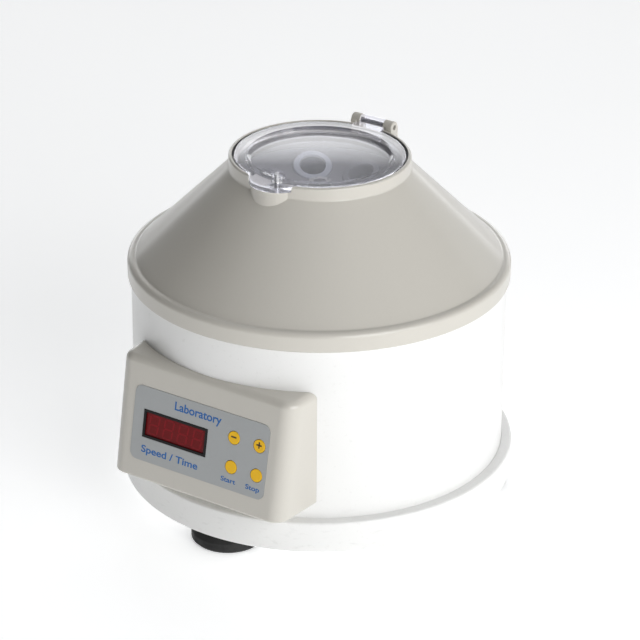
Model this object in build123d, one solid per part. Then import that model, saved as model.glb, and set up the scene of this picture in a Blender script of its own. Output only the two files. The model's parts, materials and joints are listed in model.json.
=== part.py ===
from build123d import *
import os
from math import cos, hypot, radians, sin, tan

# Bench laboratory centrifuge. Millimetres, +Z up. The origin is on the spin axis at the level of
# the surface that the feet stand on. The control panel faces -Y.

# Driving dimensions ---------------------------------------------------------------------------
FOOT_HEIGHT = 13.0
FOOT_RADIUS = 23.5
FOOT_CIRCLE = 101.0
BASE_RADIUS = 126.7
BASE_TOP = 34.0
BODY_RADIUS = 120.0
SHEET = 1.2
BODY_TOP = 156.2
FLANGE_RADIUS = 122.4
FLANGE_LOW = 149.0
FLANGE_HIGH = 161.5
CONE_SUM = 278.5  # radius plus height is constant along the 45 degree outer cone
COVER_WALL_SUM = 4.2  # the same sum is this much less on the inner cone
NECK_RADIUS = 57.7
RIM_TOP = 229.1
SEAT_RADIUS = 55.6
SEAT_HEIGHT = 225.2
MOUTH_RADIUS = 52.0
LID_RADIUS = 54.1
LID_THICKNESS = 3.6
DISH_RADIUS = 44.0
DISH_DEPTH = 3.5
DISH_PLATE = 2.5
SEAL_INNER = 54.75
TAB_CENTRE = -45.5
TAB_RADIUS = 18.5
HINGE_Y = 62.0
HINGE_Z = 229.5
BARREL_RADIUS = 4.0
LATCH_X = 4.5
LATCH_Y = -53.5
PANEL_Y = -130.84
PANEL_Z = 80.94
PANEL_LEAN = 10.47
BOX_LOW = 44.5
BOX_HIGH = 121.5
BOX_FRONT_HALF = 64.5
BOX_BACK_HALF = 67.0
BOX_WALL = 3.0
TUBE_COUNT = 6
TUBE_TILT = 25.0
TUBE_OUTER = 10.0
TUBE_INNER = 8.6
TUBE_LENGTH = 95.0
TUBE_BOTTOM = 2.0
TUBE_LIP = 2.5
TUBE_LIP_HEIGHT = 2.0
TUBE_CLEARANCE = 0.2
MOUTH_CIRCLE = 33.0
MOUTH_HEIGHT = 207.0
ROTOR_RIM_RADIUS = 58.5
ROTOR_RIM_HEIGHT = 208.8
ROTOR_SKIRT_RADIUS = 98.3
ROTOR_SKIRT_LOW = 152.0
ROTOR_WALL = 2.5
ROTOR_DISH = 4.5
DISH_EDGE = 52.0
LEDGE_WIDTH = 3.0
LEDGE_DEPTH = 2.0
SHAFT_RADIUS = 5.0
BOWL_RADIUS = 111.2
BOWL_FLOOR = 104.0
MOTOR_RADIUS = 42.0
MOTOR_LOW = 30.0
MOTOR_HIGH = 94.0
BEARING_RADIUS = 13.0
BALL_CIRCLE = 8.9
BALL_RADIUS = 1.4
PLATE_HEIGHT = 50.0
DAMPER_CIRCLE = 58.0
REAR_FACE = 131.0

FIT = 0.15  # gap between fixed curved faces that meet
RUN = 0.05  # radial running clearance
UP = (Align.CENTER, Align.CENTER, Align.MIN)


# Shape helpers --------------------------------------------------------------------------------
def disc(radius, low, high, x=0.0, y=0.0):
    return Pos(x, y, low) * Cylinder(radius, high - low, align=UP)


def tube(outer, inner, low, high, x=0.0, y=0.0):
    return disc(outer, low, high, x, y) - disc(inner, low - 1, high + 1, x, y)


def block(x0, x1, y0, y1, z0, z1):
    return Pos(x0, y0, z0) * Box(x1 - x0, y1 - y0, z1 - z0, align=(Align.MIN,) * 3)


def turned(outline, rounds=()):
    """Solid of revolution about Z from (radius, height) points; rounds lists (point, fillet radius)."""
    face = make_face(Polyline(*outline, close=True))
    for point, radius in rounds:
        corner = sorted(face.vertices(), key=lambda v: hypot(v.X - point[0], v.Y - point[1]))[0]
        face = fillet(corner, radius)
    return revolve(Plane.XZ * face, Axis.Z)


def plate(plane, half_u, half_v, low, high, u=0.0, v=0.0, corner=0.0):
    """Rectangular plate on a plane, from low to high along the plane's normal."""
    sketch = RectangleRounded(2 * half_u, 2 * half_v, corner) if corner else Rectangle(2 * half_u, 2 * half_v)
    return plane * (Pos(u, v, low) * extrude(sketch, high - low))


def pin(plane, radius, low, high, u=0.0, v=0.0):
    return plane * (Pos(u, v, low) * Cylinder(radius, high - low, align=UP))


def around(solid, count, start=0.0):
    return [Rot(0, 0, start + 360 / count * i) * solid for i in range(count)]


def fused(solids):
    whole = solids[0]
    for solid in solids[1:]:
        whole += solid
    return whole


def write(node, solids):
    """Write one sub-part; a list is a group of separate identical solids."""
    if isinstance(solids, list):
        solids = Compound(children=[Solid(s.solids()[0].wrapped) for s in solids])
    export_step(solids, f"parts/{node}.step")


os.makedirs("parts", exist_ok=True)

lean = radians(PANEL_LEAN)
panel = Plane(origin=(0, PANEL_Y, PANEL_Z), x_dir=(1, 0, 0), z_dir=(0, -cos(lean), sin(lean)))
rear = Plane(origin=(0, REAR_FACE, 66), x_dir=(-1, 0, 0), z_dir=(0, 1, 0))

# Feet -----------------------------------------------------------------------------------------
foot_places = {
    "foot_front": -90.0,
    "foot_rear_right": 30.0,
    "foot_rear_left": 150.0,
}
foot_outline = [
    (0, 0),
    (FOOT_RADIUS - 2, 0),
    (FOOT_RADIUS, 2),
    (FOOT_RADIUS, 7),
    (FOOT_RADIUS - 3, 11),
    (FOOT_RADIUS - 3, FOOT_HEIGHT),
    (0, FOOT_HEIGHT),
]
foot_recess = disc(7, -1, 6)
foot_bore = disc(3, -1, FOOT_HEIGHT + 1)
foot = turned(foot_outline, [((FOOT_RADIUS, 7), 1.2), ((FOOT_RADIUS, 2), 1.2)]) - foot_recess - foot_bore
foot_spots = {
    node: (FOOT_CIRCLE * cos(radians(angle)), FOOT_CIRCLE * sin(radians(angle)))
    for node, angle in foot_places.items()
}
for node, (x, y) in foot_spots.items():
    write(node, Pos(x, y, 0) * foot)

foot_screw = disc(5.5, 2.5, 5.9) + disc(2.9, 5.8, 22)
write("foot_screws", [Pos(x, y, 0) * foot_screw for x, y in foot_spots.values()])

# Base pan -------------------------------------------------------------------------------------
PAN_FLOOR = FOOT_HEIGHT + 3
pan = turned(
    [
        (0, FOOT_HEIGHT),
        (BASE_RADIUS, FOOT_HEIGHT),
        (BASE_RADIUS, BASE_TOP),
        (BODY_RADIUS + FIT, BASE_TOP),
        (BODY_RADIUS + FIT, BASE_TOP - 3),
        (BASE_RADIUS - 3, BASE_TOP - 3),
        (BASE_RADIUS - 3, PAN_FLOOR),
        (0, PAN_FLOOR),
    ],
    [((BASE_RADIUS, FOOT_HEIGHT), 1.5), ((BASE_RADIUS, BASE_TOP), 1.5)],
)
for x, y in foot_spots.values():
    pan -= disc(3, FOOT_HEIGHT - 1, PAN_FLOOR + 1, x, y)
vent_slot = block(-2, 2, 12, 34, FOOT_HEIGHT - 1, PAN_FLOOR + 1)
for slot in around(vent_slot, 12):
    pan -= slot
damper_angles = [30.0 + 120.0 * i for i in range(3)]
damper_spots = [(DAMPER_CIRCLE * cos(radians(a)), DAMPER_CIRCLE * sin(radians(a))) for a in damper_angles]
for x, y in damper_spots:
    pan -= disc(3, FOOT_HEIGHT - 1, PAN_FLOOR + 1, x, y)
write("base_pan", pan)

# Body shell, rolled sheet with an inward lip at the top -----------------------------------------
shell = turned(
    [
        (BODY_RADIUS - SHEET, PAN_FLOOR),
        (BODY_RADIUS, PAN_FLOOR),
        (BODY_RADIUS, BODY_TOP),
        (BODY_RADIUS - 6, BODY_TOP),
        (BODY_RADIUS - 6, BODY_TOP - SHEET),
        (BODY_RADIUS - SHEET, BODY_TOP - SHEET),
    ]
)
shell -= block(-52, 52, -125, -90, 54, 112)
shell -= block(-40, 40, 90, 125, 46, 86)
cover_screw_spot = (BODY_RADIUS - 3.6, 0)
SCREW_START = 30.0
SCREW_COUNT = 6
cover_screw = Pos(*cover_screw_spot, 0) * (disc(2.4, 152.6, 154.9) + disc(1.2, 154.8, 159.6))
screw_bores = around(Pos(*cover_screw_spot, 0) * disc(1.35, 150, 160), SCREW_COUNT, SCREW_START)
for bore in screw_bores:
    shell -= bore
write("body_shell", shell)
write("cover_screws", around(cover_screw, SCREW_COUNT, SCREW_START))

# Guard bowl, a spun steel tub that hangs by its flange -------------------------------------------
BOWL_TOP = BODY_TOP + SHEET
bowl = turned(
    [
        (20, BOWL_FLOOR),
        (BOWL_RADIUS, BOWL_FLOOR),
        (BOWL_RADIUS, BODY_TOP),
        (BODY_RADIUS - 1.4, BODY_TOP),
        (BODY_RADIUS - 1.4, BOWL_TOP),
        (BOWL_RADIUS - SHEET, BOWL_TOP),
        (BOWL_RADIUS - SHEET, BOWL_FLOOR + SHEET),
        (20 + SHEET, BOWL_FLOOR + SHEET),
        (20 + SHEET, BOWL_FLOOR + 8),
        (20, BOWL_FLOOR + 8),
    ],
    [((BOWL_RADIUS, BOWL_FLOOR), 4.0), ((BOWL_RADIUS - SHEET, BOWL_FLOOR + SHEET), 2.8)],
)
for bore in screw_bores:
    bowl -= bore
write("guard_bowl", bowl)

# Rubber boot between the bowl's collar and the motor
write("bowl_boot", tube(19.8, 9.0, 99.0, BOWL_FLOOR + 8))

# Cone cover --------------------------------------------------------------------------------------
INNER_SUM = CONE_SUM - COVER_WALL_SUM
CONE_FOOT = CONE_SUM - FLANGE_HIGH
cover = turned(
    [
        (BODY_RADIUS + 0.2, FLANGE_LOW),
        (FLANGE_RADIUS, FLANGE_LOW),
        (FLANGE_RADIUS, FLANGE_HIGH),
        (CONE_FOOT, FLANGE_HIGH),
        (NECK_RADIUS, CONE_SUM - NECK_RADIUS),
        (NECK_RADIUS, RIM_TOP),
        (SEAT_RADIUS, RIM_TOP),
        (SEAT_RADIUS, SEAT_HEIGHT),
        (MOUTH_RADIUS, SEAT_HEIGHT),
        (MOUTH_RADIUS, INNER_SUM - MOUTH_RADIUS),
        (INNER_SUM - BOWL_TOP, BOWL_TOP),
        (BODY_RADIUS + 0.2, BOWL_TOP),
    ],
    [
        ((FLANGE_RADIUS, FLANGE_HIGH), 3.4),
        ((FLANGE_RADIUS, FLANGE_LOW), 0.8),
        ((CONE_FOOT, FLANGE_HIGH), 1.5),
        ((NECK_RADIUS, CONE_SUM - NECK_RADIUS), 1.5),
        ((NECK_RADIUS, RIM_TOP), 1.2),
    ],
)
# Boss under the lid's tab, its pocket for the latch, and the gap in the rim above it
BOSS_TOP = RIM_TOP - LID_THICKNESS - 0.3
outside_cone = turned(
    [
        (48.2, INNER_SUM - 53.5),
        (53.5, INNER_SUM - 53.5),
        (80, INNER_SUM - 80),
        (80, BOSS_TOP),
        (48.2, BOSS_TOP),
    ]
)
boss = disc(TAB_RADIUS - 1, 190, BOSS_TOP, 0, TAB_CENTRE) & outside_cone
cover -= disc(TAB_RADIUS + 0.5, BOSS_TOP, RIM_TOP + 1, 0, TAB_CENTRE)
cover += boss
cover -= disc(4.7, 222.3, RIM_TOP, LATCH_X, LATCH_Y)
cover -= block(LATCH_X - 6.1, LATCH_X + 6.1, LATCH_Y - 5.1, LATCH_Y + 5.1, BOSS_TOP - 1.0, RIM_TOP)
# Hinge knuckles and the notch between them for the lid's leaf
KNUCKLE_IN = 9.0
KNUCKLE_OUT = 15.5
barrel_plane = Plane(origin=(0, HINGE_Y, HINGE_Z), x_dir=(0, 1, 0), z_dir=(1, 0, 0))
for side in (-1, 1):
    low, high = sorted((side * KNUCKLE_IN, side * KNUCKLE_OUT))
    web = block(low, high, HINGE_Y - BARREL_RADIUS, HINGE_Y + BARREL_RADIUS, 200, HINGE_Z)
    web -= turned([(0, 190), (90, INNER_SUM - 88), (60, INNER_SUM - 58), (0, INNER_SUM - 58)])
    cover += web
    knuckle = pin(barrel_plane, BARREL_RADIUS, low, high)
    end = knuckle.edges().filter_by(GeomType.CIRCLE).sort_by(Axis.X)[-1 if side > 0 else 0]
    cover += fillet(end, 0.7)
cover -= block(-11.5, 11.5, 50, NECK_RADIUS + 1, SEAT_HEIGHT, RIM_TOP + 1)
cover -= pin(barrel_plane, 1.5 + FIT, -20, 20)
for bore in screw_bores:
    cover -= bore
write("cone_cover", cover)

# Rubber lid seal, an upright ring between the seat's wall and the lid's edge
seal = tube(SEAT_RADIUS - FIT, SEAL_INNER, SEAT_HEIGHT, RIM_TOP - 0.7)
seal -= disc(TAB_RADIUS + 0.5, SEAT_HEIGHT - 1, RIM_TOP + 1, 0, TAB_CENTRE)
seal -= block(-11.8, 11.8, 50, 60, RIM_TOP - LID_THICKNESS - 0.1, RIM_TOP + 1)
write("lid_seal", seal)

# Lid ----------------------------------------------------------------------------------------------
LID_LOW = RIM_TOP - LID_THICKNESS
lid = turned(
    [
        (0, RIM_TOP - DISH_DEPTH - DISH_PLATE),
        (DISH_RADIUS + 1.2, RIM_TOP - DISH_DEPTH - DISH_PLATE),
        (DISH_RADIUS + 3.4, LID_LOW),
        (LID_RADIUS, LID_LOW),
        (LID_RADIUS, RIM_TOP),
        (DISH_RADIUS + 2, RIM_TOP),
        (DISH_RADIUS, RIM_TOP - DISH_DEPTH),
        (0, RIM_TOP - DISH_DEPTH),
    ],
    [((LID_RADIUS, RIM_TOP), 0.8), ((DISH_RADIUS, RIM_TOP - DISH_DEPTH), 0.8)],
)
tab = disc(TAB_RADIUS, LID_LOW, RIM_TOP, 0, TAB_CENTRE) - disc(DISH_RADIUS + 3, LID_LOW - 1, RIM_TOP + 1)
tab = fillet(tab.edges().filter_by(GeomType.CIRCLE).group_by(Axis.Z)[-1].sort_by(Axis.Y)[0], 0.8)
lid += tab
leaf = block(-10.8, 10.8, 50, 57.4, LID_LOW, RIM_TOP)
leaf += block(-8.7, 8.7, 57.3, HINGE_Y, LID_LOW, RIM_TOP)
leaf += pin(barrel_plane, BARREL_RADIUS, -8.7, 8.7)
lid += leaf
lid -= pin(barrel_plane, 1.5 + RUN, -20, 20)
lid -= disc(1.8, LID_LOW - 1, RIM_TOP + 1, LATCH_X, LATCH_Y)
write("lid_panel", lid)
write("hinge_pin", pin(barrel_plane, 1.5, -KNUCKLE_OUT + 1.8, KNUCKLE_OUT - 1.8))

# Latch: a lever knob on the tab, a cam below it and the steel keeper in the boss
knob = disc(3.8, RIM_TOP + 0.2, RIM_TOP + 7.0, LATCH_X, LATCH_Y)
arm = block(LATCH_X - 10.5, LATCH_X + 5.5, LATCH_Y - 2.2, LATCH_Y + 2.2, RIM_TOP + 3.6, RIM_TOP + 6.6)
arm = fillet(arm.edges().filter_by(Axis.Z), 1.8)
knob = knob + arm
knob -= disc(1.5 + 0.1, RIM_TOP - 1, RIM_TOP + 5.5, LATCH_X, LATCH_Y)
write("latch_knob", knob)
cam = disc(1.5, 222.7, RIM_TOP + 5.4, LATCH_X, LATCH_Y)
cam += block(LATCH_X - 4.2, LATCH_X + 4.2, LATCH_Y - 1.5, LATCH_Y + 1.5, 222.7, 223.9)
write("latch_cam", cam)
keeper = block(LATCH_X - 6, LATCH_X + 6, LATCH_Y - 5, LATCH_Y + 5, BOSS_TOP - 1.0, BOSS_TOP)
keeper -= block(LATCH_X - 4.7, LATCH_X + 4.7, LATCH_Y - 2.2, LATCH_Y + 2.0, 220, RIM_TOP)
keeper &= disc(TAB_RADIUS - 1.3, 220, RIM_TOP, 0, TAB_CENTRE)
write("latch_keeper", keeper)

# Control box --------------------------------------------------------------------------------------
def box_body(inset, low, high, corner):
    """The box's leaning block, inset from its outer faces, with rounded upright front corners."""
    front = -160.0
    slope = (BOX_BACK_HALF - BOX_FRONT_HALF) / 44
    back_half = BOX_BACK_HALF - inset
    front_half = back_half - slope * (-95 - front)
    corners = [(-back_half, -95), (-front_half, front), (front_half, front), (back_half, -95)]
    outline = Polyline(*corners, close=True)
    body = Pos(0, 0, low) * extrude(make_face(outline), high - low)
    body -= panel * (Pos(0, 0, -inset) * Box(300, 300, 100, align=UP))
    middle = (low + high) / 2
    uprights = [e for e in body.edges() if abs(e.center().Z - middle) < 12 and e.center().Y < -120]
    uprights = [e for e in uprights if e.length > 0.8 * (high - low)]
    return fillet(uprights, corner)


box = box_body(0, BOX_LOW, BOX_HIGH, 10)
top_rim = [e for e in box.edges() if abs(e.center().Z - BOX_HIGH) < 0.01 and e.center().Y < -97]
box = fillet(top_rim, 5)
bottom_rim = [e for e in box.edges() if abs(e.center().Z - BOX_LOW) < 0.01 and e.center().Y < -97]
box = fillet(bottom_rim, 1.5)
box -= box_body(BOX_WALL, BOX_LOW + BOX_WALL, BOX_HIGH - BOX_WALL, 7)
box -= disc(BODY_RADIUS + FIT, 0, 200)

MEMBRANE_U = 51.1
MEMBRANE_V = 24.25
RECESS = 0.5
DISPLAY_U = -18.7
DISPLAY_V = 0.5
BEZEL_U = 24.35
BEZEL_V = 9.15
BEZEL_FRAME = 1.6
WINDOW_U = BEZEL_U - 0.9
WINDOW_V = BEZEL_V - 0.9
KEY_RADIUS = 4.15
key_places = {
    "key_speed_down": (25.4, 9.7),
    "key_speed_up": (44.4, 9.7),
    "key_start": (25.4, -9.4),
    "key_stop": (44.4, -9.4),
}
box -= plate(panel, MEMBRANE_U + FIT, MEMBRANE_V + FIT, -RECESS, 5, corner=5.1)
box -= plate(panel, WINDOW_U + FIT, WINDOW_V + FIT, -8, 5, DISPLAY_U, DISPLAY_V)
for u, v in key_places.values():
    box -= pin(panel, KEY_RADIUS + 0.35, -1.7, 5, u, v)
    box -= pin(panel, 2.5, -8, 5, u, v)
board_post_spots = [(-43.0, -16.6), (43.0, -16.6), (-43.0, 17.0), (43.0, 17.0)]
for u, v in board_post_spots:
    box += pin(panel, 3.2, -12.8, -2.5, u, v)
    box -= pin(panel, 1.3, -20, -6, u, v)
write("control_box", box)

membrane = plate(panel, MEMBRANE_U, MEMBRANE_V, -RECESS, 0.3, corner=5)
membrane -= plate(panel, BEZEL_U + FIT, BEZEL_V + FIT, -2, 2, DISPLAY_U, DISPLAY_V)
for u, v in key_places.values():
    membrane -= pin(panel, KEY_RADIUS + 0.35, -2, 2, u, v)
write("membrane_panel", membrane)

bezel = plate(panel, BEZEL_U, BEZEL_V, -RECESS, 0.5, DISPLAY_U, DISPLAY_V)
bezel -= plate(panel, BEZEL_U - BEZEL_FRAME, BEZEL_V - BEZEL_FRAME, -2, 2, DISPLAY_U, DISPLAY_V)
write("display_bezel", bezel)
write("display_window", plate(panel, WINDOW_U, WINDOW_V, -2.8, -0.6, DISPLAY_U, DISPLAY_V))

for node, (u, v) in key_places.items():
    cap = pin(panel, KEY_RADIUS, -0.7, 0.6, u, v)
    cap = fillet(cap.edges().sort_by(Axis(panel.origin, panel.z_dir))[-1], 0.3)
    write(node, cap + pin(panel, 1.9, -7.2, -0.6, u, v))

board = plate(panel, 47, 20, -14.5, -12.9)
for u, v in board_post_spots:
    board -= pin(panel, 1.4, -20, -10, u, v)
write("control_board", board)
digits = plate(panel, BEZEL_U - BEZEL_FRAME, BEZEL_V - BEZEL_FRAME, -12.8, -5.0, DISPLAY_U, DISPLAY_V)
write("digit_module", digits)
switches = [
    plate(panel, 3, 3, -12.8, -9.2, u, v) + pin(panel, 1.6, -9.3, -7.9, u, v) for u, v in key_places.values()
]
write("key_switches", switches)

# Rear power housing --------------------------------------------------------------------------------
HOUSING_HALF = 43.0
HOUSING_LOW = 42.0
HOUSING_HIGH = 90.0
housing = block(-HOUSING_HALF, HOUSING_HALF, 95, REAR_FACE, HOUSING_LOW, HOUSING_HIGH)
housing = fillet(housing.edges().filter_by(Axis.Y), 5)
housing = fillet(housing.faces().sort_by(Axis.Y)[-1].edges(), 1.5)
housing -= block(
    -HOUSING_HALF + 2.5, HOUSING_HALF - 2.5, 90, REAR_FACE - 2.5, HOUSING_LOW + 2.5, HOUSING_HIGH - 2.5
)
housing -= disc(BODY_RADIUS + FIT, 0, 200)
INLET_U = 22.0
SWITCH_U = -9.0
FUSE_U = -30.0
ROCKER_DEPTH = -0.6
ROCKER_TILT = 9.0  # stored off, with the lower half pressed in
ROCKER_PIVOT = 1.2
ROCKER_PIVOT_HALF = 5.8
housing -= plate(rear, 13.9, 10.0, -30, 5, INLET_U)
housing -= plate(rear, 6.7, 10.0, -30, 5, SWITCH_U)
housing -= pin(rear, 6.3, -30, 5, FUSE_U)
write("rear_housing", housing)

inlet = plate(rear, 15.6, 12.2, 0, 2.4, INLET_U, 0, 2)
inlet += plate(rear, 13.7, 9.8, -22, 0.1, INLET_U)
inlet -= plate(rear, 12.2, 8.2, -15, 5, INLET_U, 0, 3)
inlet_pin_places = [(INLET_U - 7, -1.6), (INLET_U, 2.4), (INLET_U + 7, -1.6)]
for u, v in inlet_pin_places:
    inlet -= plate(rear, 1.1, 2.1, -30, 5, u, v)
write("inlet_socket", inlet)
write("inlet_pins", [plate(rear, 1.0, 2.0, -27, -3.0, u, v) for u, v in inlet_pin_places])

switch_body = plate(rear, 7.6, 10.9, 0, 1.8, SWITCH_U, 0, 1.2) + plate(rear, 6.5, 9.8, -17, 0.1, SWITCH_U)
switch_body -= plate(rear, 5.3, 8.4, -9, 5, SWITCH_U)
rocker_side = Plane(origin=(-SWITCH_U, REAR_FACE + ROCKER_DEPTH, 66), x_dir=(0, 0, -1), z_dir=(1, 0, 0))
switch_body -= rocker_side * (Pos(0, 0, -6) * Cylinder(ROCKER_PIVOT + RUN, 12, align=UP))
write("switch_body", switch_body)
# The rocker's face is a shallow V, seen here from the side: (height, depth) about its pivot line
ROCKER_OUTLINE = [(-7.6, 4.6), (-7.6, 2.2), (-4.6, -3.4), (4.6, -3.4), (7.6, 2.2), (7.6, 4.6), (0, 2.2)]
rocker = extrude(make_face(Polyline(*ROCKER_OUTLINE, close=True)), 4.8, both=True)
rocker += Pos(0, 0, -ROCKER_PIVOT_HALF) * Cylinder(ROCKER_PIVOT, 2 * ROCKER_PIVOT_HALF, align=UP)
rocker = rocker_side * (Rot(0, 0, -ROCKER_TILT) * rocker)
write("power_rocker", rocker)

fuse = pin(rear, 8.0, 0, 2.2, FUSE_U) + pin(rear, 6.1, -28, 0.1, FUSE_U) + pin(rear, 6.6, 2.1, 6.4, FUSE_U)
fuse -= plate(rear, 4.5, 0.7, 5.0, 8, FUSE_U)
write("fuse_holder", fuse)

# Motor -----------------------------------------------------------------------------------------------
motor_can = tube(MOTOR_RADIUS, MOTOR_RADIUS - 2, MOTOR_LOW, MOTOR_HIGH)
motor_can += tube(66, MOTOR_RADIUS - 1, PLATE_HEIGHT + 3, PLATE_HEIGHT + 5) - fused(
    [disc(7, 0, 100, x, y) for x, y in damper_spots]
)
write("motor_can", motor_can)


def end_cap(low, high, seat_low, seat_high):
    cap = disc(MOTOR_RADIUS, low, high)
    cap += disc(17, seat_low, seat_high)
    cap -= disc(SHAFT_RADIUS + 1.5, 0, 200)
    return cap


upper_cap = end_cap(MOTOR_HIGH, MOTOR_HIGH + 4, MOTOR_HIGH - 7, MOTOR_HIGH + 4)
upper_cap -= disc(BEARING_RADIUS + RUN, 0, MOTOR_HIGH + 2)
lower_cap = end_cap(MOTOR_LOW - 4, MOTOR_LOW, MOTOR_LOW - 4, MOTOR_LOW + 7)
lower_cap -= disc(BEARING_RADIUS + RUN, MOTOR_LOW - 2, 200)
write("motor_end_caps", [upper_cap, lower_cap])
bearing_spans = [(MOTOR_HIGH - 6.2, MOTOR_HIGH + 1.8), (MOTOR_LOW - 1.8, MOTOR_LOW + 6.2)]
write("bearing_outer_rings", [tube(BEARING_RADIUS, 10.4, low, high) for low, high in bearing_spans])
inner_rings = [tube(7.4, SHAFT_RADIUS + 0.01, low, high) for low, high in bearing_spans]
write("bearing_inner_rings", inner_rings)
balls = []
for low, high in bearing_spans:
    for angle in range(0, 360, 45):
        x, y = BALL_CIRCLE * cos(radians(angle)), BALL_CIRCLE * sin(radians(angle))
        balls.append(Pos(x, y, (low + high) / 2) * Sphere(BALL_RADIUS))
write("bearing_balls", balls)

magnets = [tube(MOTOR_RADIUS - 2 - FIT, 31, 44, 80) & block(4, 60, -60, 60, 0, 100)]
magnets.append(Rot(0, 0, 180) * magnets[0])
write("field_magnets", magnets)

slot_cut = block(24, 31, -2, 2, 0, 100)
core = tube(30, SHAFT_RADIUS + 0.01, 46, 78)
for slot in around(slot_cut, 12):
    core -= slot
write("armature_core", core)
write("commutator", tube(13, SHAFT_RADIUS + 0.01, 36.5, 44))
brush = block(13.3, 30, -3.5, 3.5, 37, 43.5)
holder = block(18, MOTOR_RADIUS - 2.6, -5.5, 5.5, 35.5, 43.8) - block(12, 34, -3.7, 3.7, 36.8, 43.6)
write("brush_holders", around(holder, 2))
write("carbon_brushes", around(brush, 2))

mount_plate = tube(74, MOTOR_RADIUS + FIT, PLATE_HEIGHT, PLATE_HEIGHT + 3)
for x, y in damper_spots:
    mount_plate -= disc(3.2, 40, 60, x, y)
write("motor_plate", mount_plate)
damper = tube(11, 4.0, PAN_FLOOR, PLATE_HEIGHT)
damper_stud = disc(2.9, FOOT_HEIGHT + 0.2, PLATE_HEIGHT + 10) + disc(5.5, PLATE_HEIGHT + 3, PLATE_HEIGHT + 7.5)
write("dampers", [Pos(x, y, 0) * damper for x, y in damper_spots])
write("damper_bolts", [Pos(x, y, 0) * damper_stud for x, y in damper_spots])

# Power electronics on the base pan -------------------------------------------------------------------
power_board = block(76, 110, -34, 34, 22, 23.6)
for y in (-30, 30):
    for x in (80, 106):
        power_board += disc(2.6, PAN_FLOOR, 22.1, x, y)
heat_sink = block(78, 84, -26, 26, 23.6, 50)
for row in range(6):
    heat_sink += block(84, 98, -26 + row * 10, -24 + row * 10, 26, 50)
power_board += heat_sink
write("power_board", power_board)
transformer = block(-108, -80, -22, 22, PAN_FLOOR, 52)
transformer = fillet(transformer.edges().filter_by(Axis.Z), 2)
transformer += block(-112, -76, -16, 16, 22, 46)
write("transformer", transformer)

# Rotor -----------------------------------------------------------------------------------------------
RIM_SUM = ROTOR_RIM_RADIUS + ROTOR_RIM_HEIGHT
HUB_RADIUS = 15.0
DISH_SLOPE = tan(radians(11))
hub_top = ROTOR_RIM_HEIGHT - (ROTOR_RIM_RADIUS - HUB_RADIUS) * DISH_SLOPE
shaft = disc(SHAFT_RADIUS, MOTOR_LOW - 3, 198) + disc(4, 197, hub_top + 9)
write("motor_shaft", shaft)

mouth_frames = []
for number in range(TUBE_COUNT):
    tilt_plane = Plane(
        origin=(0, MOUTH_CIRCLE, MOUTH_HEIGHT),
        x_dir=(1, 0, 0),
        z_dir=(0, -sin(radians(TUBE_TILT)), cos(radians(TUBE_TILT))),
    )
    mouth_frames.append((Rot(0, 0, 42 - 60 * number), tilt_plane))

INNER_CONE_SUM = RIM_SUM - ROTOR_WALL - 1.0


def dish_top(radius):
    return hub_top + (radius - HUB_RADIUS) * DISH_SLOPE


# The outer shell, with a ledge round the inside of its rim that the dish lies on
ledge_low = dish_top(0) - ROTOR_DISH - LEDGE_DEPTH
shell_corner = (INNER_CONE_SUM - ledge_low) / (1 + DISH_SLOPE)
rotor_shell = turned(
    [
        (DISH_EDGE, dish_top(DISH_EDGE)),
        (ROTOR_RIM_RADIUS, ROTOR_RIM_HEIGHT),
        (ROTOR_SKIRT_RADIUS, RIM_SUM - ROTOR_SKIRT_RADIUS),
        (ROTOR_SKIRT_RADIUS, ROTOR_SKIRT_LOW),
        (ROTOR_SKIRT_RADIUS - ROTOR_WALL, ROTOR_SKIRT_LOW),
        (ROTOR_SKIRT_RADIUS - ROTOR_WALL, INNER_CONE_SUM - ROTOR_SKIRT_RADIUS + ROTOR_WALL),
        (shell_corner, INNER_CONE_SUM - shell_corner),
        (DISH_EDGE - LEDGE_WIDTH, dish_top(DISH_EDGE - LEDGE_WIDTH) - ROTOR_DISH - LEDGE_DEPTH),
        (DISH_EDGE - LEDGE_WIDTH, dish_top(DISH_EDGE - LEDGE_WIDTH) - ROTOR_DISH),
        (DISH_EDGE, dish_top(DISH_EDGE) - ROTOR_DISH),
    ],
    [((ROTOR_RIM_RADIUS, ROTOR_RIM_HEIGHT), 1.5), ((ROTOR_SKIRT_RADIUS, RIM_SUM - ROTOR_SKIRT_RADIUS), 3.0)],
)
write("rotor_shell", rotor_shell)

rotor_dish = turned(
    [
        (HUB_RADIUS + FIT, dish_top(HUB_RADIUS + FIT)),
        (DISH_EDGE - FIT, dish_top(DISH_EDGE - FIT)),
        (DISH_EDGE - FIT, dish_top(DISH_EDGE - FIT) - ROTOR_DISH + 0.1),
        (HUB_RADIUS + FIT, dish_top(HUB_RADIUS + FIT) - ROTOR_DISH + 0.1),
    ]
)
for turn, frame in mouth_frames:
    rotor_dish -= turn * pin(frame, TUBE_OUTER + TUBE_CLEARANCE, -40, 20)
    rotor_dish -= turn * pin(frame, TUBE_OUTER + TUBE_LIP + 0.3, -TUBE_LIP_HEIGHT - TUBE_CLEARANCE, 20)
write("rotor_dish", rotor_dish)

for number, (turn, frame) in enumerate(mouth_frames, start=1):
    sleeve = pin(frame, TUBE_OUTER, -TUBE_LENGTH, 0) + pin(frame, TUBE_OUTER + TUBE_LIP, -TUBE_LIP_HEIGHT, 0)
    lip_edge = sleeve.edges().filter_by(GeomType.CIRCLE).sort_by(Axis(frame.origin, frame.z_dir))[-1]
    sleeve = fillet(lip_edge, 0.9)
    sleeve -= pin(frame, TUBE_INNER, -TUBE_LENGTH + TUBE_BOTTOM + TUBE_INNER, 5)
    sleeve -= frame * (Pos(0, 0, -TUBE_LENGTH + TUBE_BOTTOM + TUBE_INNER) * Sphere(TUBE_INNER))
    write(f"tube_sleeve_{number}", turn * sleeve)

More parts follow.
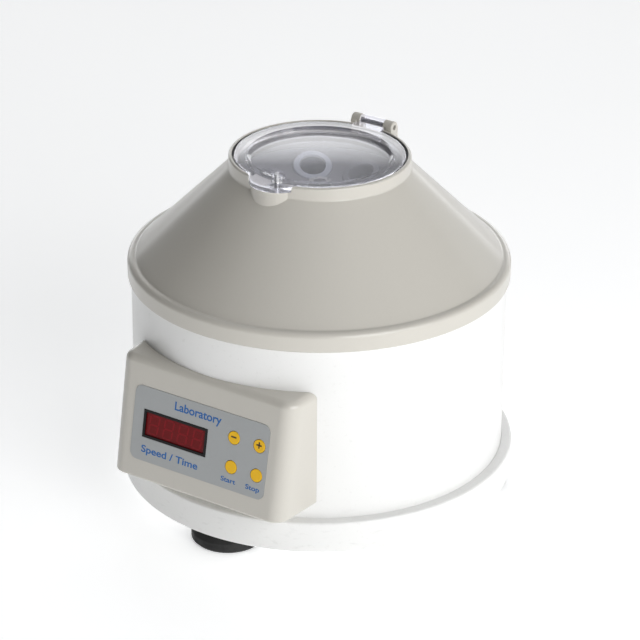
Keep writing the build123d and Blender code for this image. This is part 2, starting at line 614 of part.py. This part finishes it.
# Hub casting: a bored boss with a balance disc low down, inside the ring of sleeves
BALANCE_RADIUS = 42.0
BALANCE_LOW = 154.0
BALANCE_HIGH = 158.0
hub = disc(HUB_RADIUS, 120, hub_top)
hub += disc(BALANCE_RADIUS, BALANCE_LOW, BALANCE_HIGH)
hub -= disc(SHAFT_RADIUS + 0.01, 100, 250)
write("rotor_hub", hub)
nut = disc(9, hub_top, hub_top + 3) + Pos(0, 0, hub_top + 3) * extrude(RegularPolygon(8, 6), 6)
nut -= disc(4 + FIT, hub_top - 1, hub_top + 20)
write("rotor_nut", nut)
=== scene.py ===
"""Laboratory centrifuge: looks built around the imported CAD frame. Metres, +Z up, front towards -Y."""

import json
import math

import bmesh
import bpy
from mathutils import Matrix, Vector


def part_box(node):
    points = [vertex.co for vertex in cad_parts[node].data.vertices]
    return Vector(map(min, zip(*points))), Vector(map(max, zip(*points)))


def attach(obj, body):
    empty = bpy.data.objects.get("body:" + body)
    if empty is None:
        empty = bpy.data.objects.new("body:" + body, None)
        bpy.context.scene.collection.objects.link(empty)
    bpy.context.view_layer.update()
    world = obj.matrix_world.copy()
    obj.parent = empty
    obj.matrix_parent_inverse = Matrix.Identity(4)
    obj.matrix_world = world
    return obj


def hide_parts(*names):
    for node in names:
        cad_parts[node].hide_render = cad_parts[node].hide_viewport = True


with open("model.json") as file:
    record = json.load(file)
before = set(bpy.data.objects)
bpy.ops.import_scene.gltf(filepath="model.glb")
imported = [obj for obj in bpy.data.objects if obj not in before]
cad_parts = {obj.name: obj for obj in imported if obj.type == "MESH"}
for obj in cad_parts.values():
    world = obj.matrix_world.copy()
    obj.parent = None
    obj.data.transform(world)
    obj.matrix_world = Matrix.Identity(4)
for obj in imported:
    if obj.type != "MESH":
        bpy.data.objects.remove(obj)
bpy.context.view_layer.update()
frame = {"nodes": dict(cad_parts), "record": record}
nodes = frame["nodes"]
MM = 0.001


# Materials -------------------------------------------------------------------------------------
class Surface:
    """A Principled material whose colour, roughness and bump come from procedural nodes."""

    def __init__(self, name, color, roughness, **constants):
        self.mat = bpy.data.materials.new(name)
        self.mat.use_nodes = True
        self.tree = self.mat.node_tree
        self.shader = self.tree.nodes["Principled BSDF"]
        self.color = tuple(color) + (1.0,)
        self.shader.inputs["Base Color"].default_value = self.color
        self.shader.inputs["Roughness"].default_value = roughness
        for socket, value in constants.items():
            self.shader.inputs[socket.replace("_", " ")].default_value = value
        self.place = self.node("ShaderNodeTexCoord").outputs["Object"]
        self.bump_normal = None

    def node(self, kind, **settings):
        made = self.tree.nodes.new(kind)
        for key, value in settings.items():
            setattr(made, key, value)
        return made

    def link(self, source, target):
        self.tree.links.new(source, target)

    def noise(self, scale, detail=2.0, stretch=None):
        made = self.node("ShaderNodeTexNoise")
        made.inputs["Scale"].default_value = scale
        made.inputs["Detail"].default_value = detail
        source = self.place
        if stretch is not None:
            mapping = self.node("ShaderNodeMapping")
            mapping.inputs["Scale"].default_value = stretch
            self.link(self.place, mapping.inputs["Vector"])
            source = mapping.outputs["Vector"]
        self.link(source, made.inputs["Vector"])
        return made.outputs["Fac"]

    def mapped(self, value, low, high, to_low, to_high):
        made = self.node("ShaderNodeMapRange")
        for socket, number in zip(("From Min", "From Max", "To Min", "To Max"), (low, high, to_low, to_high)):
            made.inputs[socket].default_value = number
        self.link(value, made.inputs["Value"])
        return made.outputs["Result"]

    def math(self, operation, first, second):
        made = self.node("ShaderNodeMath", operation=operation)
        for socket, value in zip(made.inputs, (first, second)):
            if isinstance(value, (int, float)):
                socket.default_value = value
            else:
                self.link(value, socket)
        return made.outputs["Value"]

    def tint(self, factor, color):
        """Mix the colour so far towards another by a factor socket."""
        mix = self.node("ShaderNodeMix", data_type="RGBA")
        self.link(factor, mix.inputs["Factor"])
        base = self.shader.inputs["Base Color"]
        if base.is_linked:
            self.link(base.links[0].from_socket, mix.inputs["A"])
        else:
            mix.inputs["A"].default_value = self.color
        mix.inputs["B"].default_value = tuple(color) + (1.0,)
        self.link(mix.outputs["Result"], base)

    def rough(self, value, low, high, spread=0.35):
        """Roughness from low to high as a noise value goes through its middle range."""
        spread_out = self.mapped(value, 0.5 - spread / 2, 0.5 + spread / 2, low, high)
        self.link(spread_out, self.shader.inputs["Roughness"])

    def bump(self, height, distance, strength=1.0):
        made = self.node("ShaderNodeBump")
        made.inputs["Strength"].default_value = strength
        made.inputs["Distance"].default_value = distance
        self.link(height, made.inputs["Height"])
        if self.bump_normal is not None:
            self.link(self.bump_normal, made.inputs["Normal"])
        self.bump_normal = made.outputs["Normal"]
        self.link(self.bump_normal, self.shader.inputs["Normal"])

    def height(self):
        split = self.node("ShaderNodeSeparateXYZ")
        self.link(self.place, split.inputs["Vector"])
        return split.outputs["Z"]


# The pale sleeve's axis, tilted 25 degrees towards the rotor's axis, and its lip's place along it
SLEEVE_TILT = math.radians(25)
SLEEVE_TURN = math.radians(42)
SLEEVE_AXIS = (
    math.sin(SLEEVE_TILT) * math.sin(SLEEVE_TURN),
    -math.sin(SLEEVE_TILT) * math.cos(SLEEVE_TURN),
    math.cos(SLEEVE_TILT),
)
SLEEVE_LIP = 0.17366
BORE_SHADE_START = 0.0015
BORE_SHADE_END = 0.0025


def moulded(name, color, low, high, peel=0.00002, cloud=0.05, **constants):
    """Injection-moulded plastic: faint colour clouds, fine grain, scuffs in the gloss."""
    made = Surface(name, color, (low + high) / 2, **constants)
    darker = [c * (1 - cloud) for c in color]
    made.tint(made.mapped(made.noise(7.0, 1.0), 0.2, 0.8, 0.0, 0.5), darker)
    made.tint(made.mapped(made.noise(600.0, 1.0), 0.3, 0.9, 0.0, 0.4), [c * (1 - cloud) for c in darker])
    made.rough(made.noise(14.0, 1.0), low, high, 0.6)
    made.bump(made.noise(900.0, 2.0), peel)
    made.bump(made.noise(30.0, 1.0), peel * 2)
    return made


def brushed(name, color, low, high, stretch, **constants):
    made = Surface(name, color, (low + high) / 2, Metallic=1.0, **constants)
    grain = made.noise(160.0, 4.0, stretch)
    made.tint(made.mapped(grain, 0.35, 0.7, 0.0, 0.6), [c * 0.72 for c in color])
    made.rough(grain, low, high)
    made.bump(grain, 0.00003, 0.6)
    return made


def clear(name, color, roughness=0.02, haze=0.0, shadow=(0.97, 0.97, 0.985)):
    """Clear acrylic: it bends light little under a glossy skin, and lets shadow rays through."""
    made = Surface(name, color, roughness, Transmission_Weight=1.0 - haze, IOR=1.08,
                   Coat_Weight=1.0, Coat_IOR=1.5, Coat_Roughness=0.01)
    made.rough(made.noise(70.0, 5.0), roughness * 0.6, roughness * 2.0)
    made.bump(made.noise(30.0, 2.0), 0.00004)
    through = made.node("ShaderNodeBsdfTransparent")
    through.inputs["Color"].default_value = tuple(shadow) + (1.0,)
    path = made.node("ShaderNodeLightPath")
    mix = made.node("ShaderNodeMixShader")
    made.link(path.outputs["Is Shadow Ray"], mix.inputs["Fac"])
    made.link(made.shader.outputs["BSDF"], mix.inputs[1])
    made.link(through.outputs["BSDF"], mix.inputs[2])
    made.link(mix.outputs["Shader"], made.tree.nodes["Material Output"].inputs["Surface"])
    return made


def body_paint():
    """Powder coat on sheet steel: orange peel, faint dust and small scuffs low down."""
    made = Surface("body_paint", (0.86, 0.86, 0.85), 0.34, Coat_Weight=0.15, Coat_Roughness=0.2)
    made.tint(made.mapped(made.noise(6.0, 3.0), 0.35, 0.7, 0.0, 0.5), (0.80, 0.80, 0.785))
    made.tint(made.mapped(made.noise(420.0, 2.0), 0.62, 0.8, 0.0, 0.35), (0.70, 0.70, 0.68))
    low_down = made.mapped(made.height(), 0.012, 0.05, 1.0, 0.0)
    scuffs = made.mapped(made.noise(120.0, 5.0, (1.0, 1.0, 2.5)), 0.60, 0.74, 0.0, 0.22)
    made.tint(made.math("MULTIPLY", low_down, scuffs), (0.42, 0.42, 0.40))
    made.rough(made.noise(28.0, 5.0), 0.28, 0.42)
    made.bump(made.noise(700.0, 1.5), 0.00003)
    return made


def sleeve_plastic():
    """Milky sleeve: pale at its lip, darker down its bore, which the light doesn't reach."""
    made = moulded("sleeve_plastic", (0.42, 0.445, 0.485), 0.25, 0.4, 0.00002, 0.05)
    along = made.node("ShaderNodeVectorMath", operation="DOT_PRODUCT")
    along.inputs[1].default_value = SLEEVE_AXIS
    made.link(made.place, along.inputs[0])
    deep = SLEEVE_LIP - BORE_SHADE_END
    shallow = SLEEVE_LIP - BORE_SHADE_START
    made.tint(made.mapped(along.outputs["Value"], deep, shallow, 1.0, 0.0), (0.09, 0.105, 0.125))
    return made


def foot_rubber():
    made = Surface("foot_rubber", (0.022, 0.022, 0.022), 0.7, Specular_IOR_Level=0.35)
    made.tint(made.mapped(made.noise(50.0, 5.0), 0.5, 0.75, 0.0, 0.7), (0.06, 0.06, 0.056))
    made.rough(made.noise(120.0, 4.0), 0.55, 0.85)
    made.bump(made.noise(1200.0, 2.0), 0.00006)
    return made


SLOT_SURFACES = {
    "body_paint": body_paint(),
    "cover_plastic": moulded("cover_plastic", (0.60, 0.577, 0.524), 0.29, 0.315, cloud=0.02,
                             Coat_Weight=0.3, Coat_Roughness=0.10),
    "foot_rubber": foot_rubber(),
    "seal_rubber": moulded("seal_rubber", (0.02, 0.02, 0.024), 0.45, 0.7, 0.00005, 0.3),
    "screw_steel": brushed("screw_steel", (0.55, 0.55, 0.54), 0.25, 0.45, (1.0, 1.0, 1.0)),
    "bowl_steel": brushed("bowl_steel", (0.62, 0.63, 0.64), 0.22, 0.42, (0.4, 0.4, 6.0)),
    "pin_steel": brushed("pin_steel", (0.16, 0.16, 0.165), 0.22, 0.36, (1.0, 1.0, 8.0)),
    "panel_film": moulded("panel_film", (0.415, 0.43, 0.435), 0.36, 0.5, 0.00002, 0.04),
    "bezel_black": moulded("bezel_black", (0.010, 0.010, 0.010), 0.2, 0.3, 0.00001, 0.2,
                           Specular_IOR_Level=0.2),
    "display_filter": moulded("display_filter", (0.17, 0.006, 0.008), 0.16, 0.24, 0.000004, 0.1,
                              Specular_IOR_Level=0.15),
    "digit_module": moulded("digit_module", (0.1, 0.005, 0.008), 0.4, 0.5, 0.00001, 0.1),
    "circuit_board": moulded("circuit_board", (0.02, 0.14, 0.05), 0.3, 0.5, 0.00004, 0.25),
    "switch_black": moulded("switch_black", (0.02, 0.02, 0.021), 0.35, 0.55, 0.00004, 0.25),
    "motor_paint": moulded("motor_paint", (0.05, 0.053, 0.056), 0.4, 0.6, 0.00006, 0.2),
    "cast_aluminium": brushed("cast_aluminium", (0.60, 0.61, 0.62), 0.3, 0.5, (1.0, 1.0, 5.0)),
    "magnet": moulded("magnet", (0.04, 0.04, 0.042), 0.5, 0.7, 0.00008, 0.2),
    "bearing_steel": brushed("bearing_steel", (0.66, 0.66, 0.68), 0.1, 0.22, (1.0, 1.0, 6.0)),
    "carbon": moulded("carbon", (0.02, 0.02, 0.02), 0.5, 0.7, 0.00006, 0.2),
    "transformer_core": moulded("transformer_core", (0.09, 0.075, 0.06), 0.4, 0.6, 0.0001, 0.2),
    "contact_brass": brushed("contact_brass", (0.72, 0.55, 0.25), 0.2, 0.35, (1.0, 5.0, 1.0)),
    "rocker_red": moulded("rocker_red", (0.42, 0.012, 0.012), 0.2, 0.32, 0.00002, 0.1),
    "armature_iron": brushed("armature_iron", (0.25, 0.25, 0.26), 0.4, 0.6, (0.3, 0.3, 12.0)),
    "copper": brushed("copper", (0.70, 0.33, 0.17), 0.2, 0.4, (1.0, 1.0, 6.0)),
    "rotor_grey": moulded("rotor_grey", (0.20, 0.203, 0.21), 0.3, 0.45, 0.00004, 0.08),
    "lid_clear": clear("lid_clear", (0.93, 0.93, 0.99), haze=0.09),
    "latch_clear": clear("latch_clear", (0.93, 0.93, 0.96), roughness=0.04),
    "sleeve_plastic": sleeve_plastic(),
    "sleeve_grey": moulded("sleeve_grey", (0.19, 0.195, 0.205), 0.3, 0.45, 0.00002, 0.05),
    "key_yellow": moulded("key_yellow", (0.95, 0.55, 0.012), 0.3, 0.42, 0.00001, 0.06,
                          Specular_IOR_Level=0.3),
}
materials = {slot: surface.mat for slot, surface in SLOT_SURFACES.items()}

for subpart in frame["record"]["subparts"]:
    node = nodes[subpart["node"]]
    node.data.materials.clear()
    node.data.materials.append(materials[subpart["material_slot"]])


# Pieces added to the CAD ------------------------------------------------------------------------
def middle_of(name):
    low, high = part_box(name)
    return (Vector(low) + Vector(high)) / 2


def place(name, mesh, matrix, surface, body="root"):
    """Put a mesh in the scene with its material and body."""
    mesh.transform(matrix)
    mesh.materials.clear()
    mesh.materials.append(surface.mat)
    piece = bpy.data.objects.new(name, mesh)
    bpy.context.scene.collection.objects.link(piece)
    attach(piece, body)
    return piece


def prism(name, outlines, low, high):
    """Mesh of the closed 2-D outlines, each extruded from low to high."""
    shape = bmesh.new()
    for outline in outlines:
        bottom = [shape.verts.new((x, y, low)) for x, y in outline]
        top = [shape.verts.new((x, y, high)) for x, y in outline]
        shape.faces.new(reversed(bottom))
        shape.faces.new(top)
        count = len(outline)
        for i in range(count):
            after = (i + 1) % count
            shape.faces.new((bottom[i], bottom[after], top[after], top[i]))
    bmesh.ops.recalc_face_normals(shape, faces=shape.faces)
    mesh = bpy.data.meshes.new(name)
    shape.to_mesh(mesh)
    shape.free()
    return mesh


def stadium(length, width, turn=0.0, steps=6):
    """Outline of a bar with round ends, centred on the origin."""
    radius = width / 2
    half = length / 2 - radius
    points = []
    for side in (1, -1):
        for step in range(steps + 1):
            angle = -math.pi / 2 + math.pi * step / steps + (0 if side > 0 else math.pi)
            points.append((side * half + radius * math.cos(angle), radius * math.sin(angle)))
    c, s = math.cos(turn), math.sin(turn)
    return [(x * c - y * s, x * s + y * c) for x, y in points]


def lettering(name, words, width, height):
    """Flat solid letters that fill a box of this width and height, centred on the origin."""
    curve = bpy.data.curves.new(name, "FONT")
    curve.body = words
    curve.size = height
    curve.offset = height * 0.02
    curve.extrude = 0.00002
    curve.resolution_u = 6
    holder = bpy.data.objects.new(name + "_curve", curve)
    bpy.context.scene.collection.objects.link(holder)
    bpy.context.view_layer.update()
    graph = bpy.context.evaluated_depsgraph_get()
    mesh = bpy.data.meshes.new_from_object(holder.evaluated_get(graph), depsgraph=graph)
    bpy.data.objects.remove(holder)
    xs = [v.co.x for v in mesh.vertices]
    ys = [v.co.y for v in mesh.vertices]
    grow_x = width / (max(xs) - min(xs))
    grow_y = height / (max(ys) - min(ys))
    centre = Vector(((max(xs) + min(xs)) / 2, (max(ys) + min(ys)) / 2, 0))
    mesh.transform(Matrix.Diagonal((grow_x, grow_y, 1, 1)) @ Matrix.Translation(-centre))
    return mesh


# The panel's plane comes from the display window, a plain plate that lies in it
PANEL_LEAN = math.radians(10.47)
FILM_FRONT = 0.3 * MM
WINDOW_FRONT = -0.6 * MM
KEY_FRONT = 0.6 * MM
panel_right = Vector((1, 0, 0))
panel_out = Vector((0, -math.cos(PANEL_LEAN), math.sin(PANEL_LEAN)))
panel_up = panel_out.cross(panel_right)
WINDOW_MIDDLE_DEPTH = -1.7 * MM
WINDOW_U = -18.7 * MM
WINDOW_V = 0.5 * MM
window_offset = panel_right * WINDOW_U + panel_up * WINDOW_V + panel_out * WINDOW_MIDDLE_DEPTH
panel_zero = middle_of("display_window") - window_offset


def on_panel(u, v, out):
    turn = Matrix((panel_right, panel_up, panel_out)).transposed().to_4x4()
    return Matrix.Translation(panel_zero + panel_right * u + panel_up * v + panel_out * out) @ turn


ink_blue = moulded("ink_blue", (0.016, 0.135, 0.42), 0.35, 0.5, 0.000004, 0.1)
ink_dark = moulded("ink_dark", (0.045, 0.018, 0.01), 0.35, 0.5, 0.000004, 0.2)
ink_white = moulded("ink_white", (0.80, 0.80, 0.78), 0.35, 0.5, 0.000004, 0.1)
digit_red = moulded("digit_red", (0.24, 0.007, 0.012), 0.16, 0.24, 0.000004, 0.1, Specular_IOR_Level=0.15)

# words, width, height and centre of each legend on the film, in millimetres
LEGENDS = [
    ("legend_title", "Laboratory", 35.5, 7.4, -2.7, 17.0),
    ("legend_display", "Speed / Time", 43.5, 6.2, -21.0, -16.9),
    ("legend_start", "Start", 11.0, 3.2, 24.3, -18.2),
    ("legend_stop", "Stop", 10.4, 4.2, 42.6, -18.7),
]
for name, words, width, height, u, v in LEGENDS:
    letters = lettering(name, words, width * MM, height * MM)
    place(name, letters, on_panel(u * MM, v * MM, FILM_FRONT + 0.03 * MM), ink_blue)

bar = stadium(4.2 * MM, 1.0 * MM)
upright = stadium(4.2 * MM, 1.0 * MM, math.pi / 2)
for key, outlines in (("speed_down", [bar]), ("speed_up", [bar, upright])):
    sign = prism(f"sign_{key}", outlines, 0.0, 0.04 * MM)
    centre = middle_of(f"key_{key}") - panel_zero
    spot = on_panel(centre.dot(panel_right), centre.dot(panel_up), KEY_FRONT)
    place(f"sign_{key}", sign, spot, ink_dark, f"{key}_button")

# Four seven-segment digits behind the filter, unlit
DIGIT_PITCH = 11.1 * MM
DIGIT_HEIGHT = 12.2 * MM
DIGIT_WIDTH = 6.6 * MM
SEGMENT = 1.15 * MM
DIGIT_SLANT = math.tan(math.radians(7))


def segment_outline(x, y, length, upright_bar):
    tip = SEGMENT / 2
    half = length / 2 - 0.25 * MM
    flat = half - tip
    along = [(-half, 0), (-flat, tip), (flat, tip), (half, 0), (flat, -tip), (-flat, -tip)]
    if upright_bar:
        along = [(b, a) for a, b in along]
    return [(x + a + (y + b) * DIGIT_SLANT, y + b) for a, b in along]


segments = []
for number in range(4):
    x = (number - 1.5) * DIGIT_PITCH
    for row in (-1, 0, 1):
        segments.append(segment_outline(x, row * DIGIT_HEIGHT / 2, DIGIT_WIDTH, False))
    for side in (-1, 1):
        for row in (-1, 1):
            edge = x + side * DIGIT_WIDTH / 2
            segments.append(segment_outline(edge, row * DIGIT_HEIGHT / 4, DIGIT_HEIGHT / 2, True))
digit_mesh = prism("digit_segments", segments, 0.0, 0.03 * MM)
place("digit_segments", digit_mesh, on_panel(WINDOW_U, WINDOW_V, WINDOW_FRONT), digit_red)


GRIP_RIBS = 14
LEVER_POINT = 1.0 * MM
LEVER_THIN_HALF = 1.2 * MM
LEVER_WIDE_HALF = 2.1 * MM
KNOB_EDGE = 0.3 * MM


def finer_knob():
    """The latch knob again, with grip ribs round its hub and a lever with soft edges."""
    low, high = (Vector(corner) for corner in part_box("latch_knob"))
    pivot = middle_of("latch_cam")
    hub_radius = high.y - pivot.y
    top = high.z - low.z
    outline = []
    for step in range(GRIP_RIBS * 4):
        angle = 2 * math.pi * step / (GRIP_RIBS * 4)
        radius = hub_radius if step % 4 < 2 else hub_radius * 0.89
        outline.append((radius * math.cos(angle), radius * math.sin(angle)))
    hub = prism("latch_grip", [outline], 0.0, top)
    thin_end = low.x - pivot.x
    wide_end = high.x - pivot.x
    lever_outline = [
        (thin_end + LEVER_POINT, -LEVER_THIN_HALF),
        (thin_end, 0.0),
        (thin_end + LEVER_POINT, LEVER_THIN_HALF),
        (-hub_radius * 0.5, LEVER_WIDE_HALF),
        (wide_end - LEVER_POINT, LEVER_WIDE_HALF),
        (wide_end, 0.0),
        (wide_end - LEVER_POINT, -LEVER_WIDE_HALF),
        (-hub_radius * 0.5, -LEVER_WIDE_HALF),
    ]
    lever = prism("latch_lever", [lever_outline], top * 0.5, top * 0.95)
    for mesh in (hub, lever):
        shape = bmesh.new()
        shape.from_mesh(mesh)
        edges = [e for e in shape.edges if abs(e.verts[0].co.z - e.verts[1].co.z) < 1e-6]
        bmesh.ops.bevel(shape, geom=edges, offset=KNOB_EDGE, segments=2, affect="EDGES")
        shape.to_mesh(mesh)
        shape.free()
    spot = Matrix.Translation((pivot.x, pivot.y, low.z))
    grip = place("latch_grip", hub, spot, SLOT_SURFACES["latch_clear"], "latch")
    place("latch_lever", lever, spot, SLOT_SURFACES["latch_clear"], "latch")
    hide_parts("latch_knob")


finer_knob()


# Stage -----------------------------------------------------------------------------------------
OBJECT_MIDDLE = Vector((0, 0, 0.12))
STUDIO_WHITE = (0.98, 0.99, 1.0, 1.0)


def make_floor():
    bpy.ops.mesh.primitive_plane_add(size=16.0, location=(0, 0, 0))
    floor = bpy.context.object
    floor.name = "floor"
    paper = Surface("floor_paper", (0.90, 0.90, 0.90), 0.8)
    paper.tint(paper.mapped(paper.noise(3.0, 2.0), 0.3, 0.7, 0.0, 1.0), (0.92, 0.92, 0.92))
    paper.shader.inputs["Emission Color"].default_value = STUDIO_WHITE
    paper.shader.inputs["Emission Strength"].default_value = 0.5
    floor.data.materials.append(paper.mat)


def make_world():
    """A studio wall that is bright up to 22 degrees, most of all behind the object on its left."""
    world = bpy.data.worlds.new("studio")
    bpy.context.scene.world = world
    world.use_nodes = True
    sky = world.node_tree
    background = sky.nodes["Background"]
    background.inputs["Color"].default_value = STUDIO_WHITE
    direction = sky.nodes.new("ShaderNodeTexCoord").outputs["Generated"]
    split = sky.nodes.new("ShaderNodeSeparateXYZ")
    sky.links.new(direction, split.inputs["Vector"])

    def ramp(value, low, high, to_low, to_high):
        made = sky.nodes.new("ShaderNodeMapRange")
        for socket, number in zip(("From Min", "From Max", "To Min", "To Max"), (low, high, to_low, to_high)):
            made.inputs[socket].default_value = number
        sky.links.new(value, made.inputs["Value"])
        return made.outputs["Result"]

    def combine(operation, first, second):
        made = sky.nodes.new("ShaderNodeMath")
        made.operation = operation
        sky.links.new(first, made.inputs[0])
        sky.links.new(second, made.inputs[1])
        return made.outputs["Value"]

    wall_top = ramp(split.outputs["Z"], 0.378, 0.385, 1.0, 0.16)
    behind = ramp(split.outputs["Y"], -0.45, -0.05, 0.12, 0.7)
    left_flag = ramp(split.outputs["X"], -0.96, -0.7, 0.3, 1.0)
    patch_place = sky.nodes.new("ShaderNodeVectorMath")
    patch_place.operation = "DOT_PRODUCT"
    patch_place.inputs[1].default_value = (-0.56, 0.83, 0.0)
    sky.links.new(direction, patch_place.inputs[0])
    patch = ramp(patch_place.outputs["Value"], 0.84, 0.92, 0.0, 1.9)
    wall = combine("ADD", combine("MULTIPLY", behind, left_flag), patch)
    sky.links.new(combine("MULTIPLY", wall_top, wall), background.inputs["Strength"])


def softbox(name, spot, width, height, power):
    """A soft rectangular light that faces the object."""
    light = bpy.data.lights.new(name, "AREA")
    light.shape = "RECTANGLE"
    light.size = width
    light.size_y = height
    light.energy = power
    holder = bpy.data.objects.new(name, light)
    bpy.context.scene.collection.objects.link(holder)
    holder.location = spot
    holder.rotation_euler = (OBJECT_MIDDLE - Vector(spot)).to_track_quat("-Z", "Y").to_euler()


def make_camera():
    """A long lens in front of the object on its right, looking a little down."""
    azimuth = math.radians(34.031)
    pitch = math.radians(25.556)
    roll = math.radians(0.427)
    level = Vector((-math.sin(azimuth), math.cos(azimuth), 0))
    forward = level * math.cos(pitch) - Vector((0, 0, math.sin(pitch)))
    right = forward.cross(Vector((0, 0, 1))).normalized()
    up = right.cross(forward)
    rolled_right = math.cos(roll) * right + math.sin(roll) * up
    rolled_up = math.cos(roll) * up - math.sin(roll) * right
    camera_data = bpy.data.cameras.new("camera")
    camera_data.sensor_width = 36.0
    camera_data.lens = 170.71
    camera = bpy.data.objects.new("camera", camera_data)
    bpy.context.scene.collection.objects.link(camera)
    turn = Matrix((rolled_right, rolled_up, -forward)).transposed().to_4x4()
    camera.matrix_world = Matrix.Translation((0.9888, -1.4629, 0.9572)) @ turn
    bpy.context.scene.camera = camera


bpy.context.scene.view_settings.view_transform = "Standard"
make_floor()
make_world()
softbox("overhead", (0.0, 0.0, 2.2), 2.6, 2.6, 9)
softbox("key_front", (1.56, -0.9, 0.75), 0.9, 1.2, 16)
softbox("key_right", (1.79, -0.16, 0.75), 0.9, 1.2, 8)
softbox("back_left", (-0.9, 1.4, 2.0), 1.2, 1.0, 4)
make_camera()
